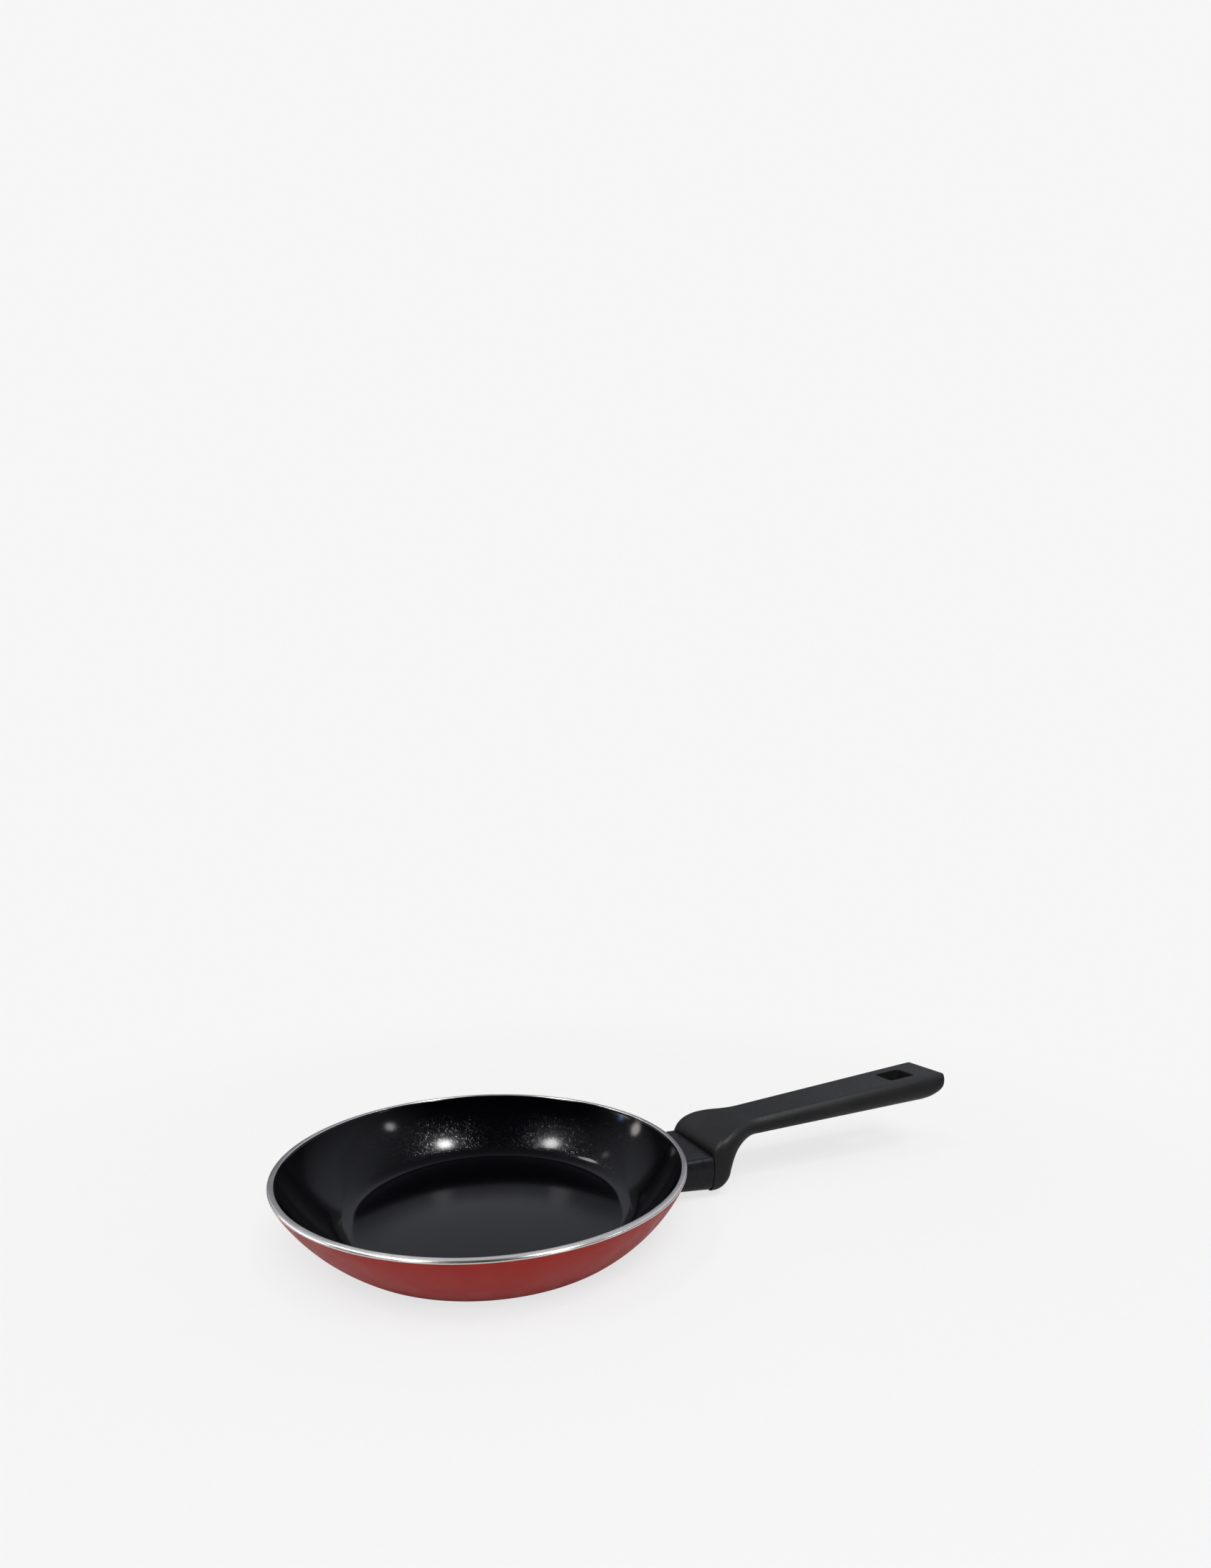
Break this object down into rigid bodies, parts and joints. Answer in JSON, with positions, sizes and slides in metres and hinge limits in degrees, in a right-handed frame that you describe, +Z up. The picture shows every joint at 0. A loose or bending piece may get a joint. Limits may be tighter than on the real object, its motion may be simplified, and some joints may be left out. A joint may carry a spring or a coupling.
{
  "type": "omelette pan",
  "caption": "Small round frying pan with sloping sides, non-stick inside, red outside and an S-shaped moulded handle with a hanging hole.",
  "frame": {"origin": "middle of the base, on the surface that the pan stands on", "axes": "+X along the handle, +Z up out of the bowl"},
  "size_m": [0.3965, 0.2004, 0.0532],
  "materials": {
    "bare_aluminium": "turned satin metal",
    "nonstick_black": "glossy black coating with fine bright flecks",
    "enamel_red": "semi-gloss brick red enamel",
    "cast_aluminium": "cast, unpolished",
    "guard_black": "satin black",
    "handle_black": "moulded phenolic, matte with fine grain",
    "zinc_steel": "zinc plated"
  },
  "bodies": {
    "root": {"pan_body": "bare_aluminium", "nonstick_lining": "nonstick_black", "outer_enamel": "enamel_red", "handle_bracket": "cast_aluminium", "flame_guard": "guard_black", "handle": "handle_black", "handle_screw": "zinc_steel", "lock_washer": "zinc_steel"}
  },
  "joints": []
}
